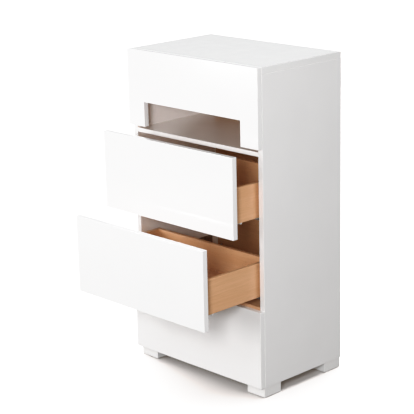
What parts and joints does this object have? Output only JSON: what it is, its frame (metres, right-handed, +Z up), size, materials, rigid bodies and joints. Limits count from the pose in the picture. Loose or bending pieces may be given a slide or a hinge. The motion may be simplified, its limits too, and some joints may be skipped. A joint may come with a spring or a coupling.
{
  "type": "chest of drawers",
  "caption": "Tall narrow white high-gloss chest with handleless overlay drawers on concealed runners, an open niche behind a cut-out fascia, and block feet.",
  "frame": {"origin": "on the floor plane, at the centre of the footprint with every drawer shut", "axes": "+X to the right as seen from the front, -Y is the front that the drawers open towards, +Z up"},
  "size_m": [0.5, 0.536, 0.91],
  "materials": {
    "gloss_white_board": "white high-gloss lacquer on board",
    "gloss_white_shelf": "white high-gloss lacquer on board, lit softly inside the niche",
    "gloss_white_foot": "white satin lacquer on block",
    "white_board": "plain white melamine-faced board",
    "beech_drawer_board": "satin beech-effect board with fine straight grain",
    "beech_drawer_bottom": "satin beech-effect thin board",
    "beech_shelf_board": "satin beech-effect board",
    "beech_back_board": "satin beech-effect hardboard",
    "solid_beech": "plain sanded beech",
    "zinc_plated_steel": "zinc-plated rolled steel",
    "plated_fasteners": "zinc-plated fasteners",
    "nylon": "natural nylon",
    "clip_plastic": "light grey moulded plastic",
    "foot_glide_plastic": "dark plastic glide"
  },
  "bodies": {
    "carcass": {"back_panel": "beech_back_board", "block_screws": "plated_fasteners", "bottom_panel": "white_board", "cam_fittings": "plated_fasteners", "carcass_dowels": "solid_beech", "fascia_blocks": "solid_beech", "fascia_panel": "gloss_white_board", "foot_front_left": "gloss_white_foot", "foot_front_right": "gloss_white_foot", "foot_glides": "foot_glide_plastic", "foot_rear_left": "gloss_white_foot", "foot_rear_right": "gloss_white_foot", "foot_screws": "plated_fasteners", "lower_runner_left": "zinc_plated_steel", "lower_runner_right": "zinc_plated_steel", "lower_shelf": "beech_shelf_board", "middle_runner_left": "zinc_plated_steel", "middle_runner_right": "zinc_plated_steel", "niche_shelf": "gloss_white_shelf", "runner_glides": "nylon", "short_screws": "plated_fasteners", "side_panel_left": "gloss_white_board", "side_panel_right": "gloss_white_board", "top_panel": "gloss_white_board", "upper_runner_left": "zinc_plated_steel", "upper_runner_right": "zinc_plated_steel"},
    "upper_drawer": {"upper_drawer_back": "beech_drawer_board", "upper_drawer_bottom": "beech_drawer_bottom", "upper_drawer_clips": "clip_plastic", "upper_drawer_front": "gloss_white_board", "upper_drawer_glides": "nylon", "upper_drawer_inner_front": "beech_drawer_board", "upper_drawer_rail_left": "zinc_plated_steel", "upper_drawer_rail_right": "zinc_plated_steel", "upper_drawer_screws": "plated_fasteners", "upper_drawer_side_left": "beech_drawer_board", "upper_drawer_side_right": "beech_drawer_board"},
    "middle_drawer": {"middle_drawer_back": "beech_drawer_board", "middle_drawer_bottom": "beech_drawer_bottom", "middle_drawer_clips": "clip_plastic", "middle_drawer_front": "gloss_white_board", "middle_drawer_glides": "nylon", "middle_drawer_inner_front": "beech_drawer_board", "middle_drawer_rail_left": "zinc_plated_steel", "middle_drawer_rail_right": "zinc_plated_steel", "middle_drawer_screws": "plated_fasteners", "middle_drawer_side_left": "beech_drawer_board", "middle_drawer_side_right": "beech_drawer_board"},
    "lower_drawer": {"lower_drawer_back": "beech_drawer_board", "lower_drawer_bottom": "beech_drawer_bottom", "lower_drawer_clips": "clip_plastic", "lower_drawer_front": "gloss_white_board", "lower_drawer_glides": "nylon", "lower_drawer_inner_front": "beech_drawer_board", "lower_drawer_rail_left": "zinc_plated_steel", "lower_drawer_rail_right": "zinc_plated_steel", "lower_drawer_screws": "plated_fasteners", "lower_drawer_side_left": "beech_drawer_board", "lower_drawer_side_right": "beech_drawer_board"}
  },
  "joints": [
    {"name": "upper_drawer_slide", "type": "slide", "parent": "carcass", "child": "upper_drawer", "axis": [0, -1, 0], "range_m": [-0.0965, 0.1115]},
    {"name": "middle_drawer_slide", "type": "slide", "parent": "carcass", "child": "middle_drawer", "axis": [0, -1, 0], "range_m": [-0.208, 0]},
    {"name": "lower_drawer_slide", "type": "slide", "parent": "carcass", "child": "lower_drawer", "axis": [0, -1, 0], "range_m": [0, 0.208]}
  ]
}
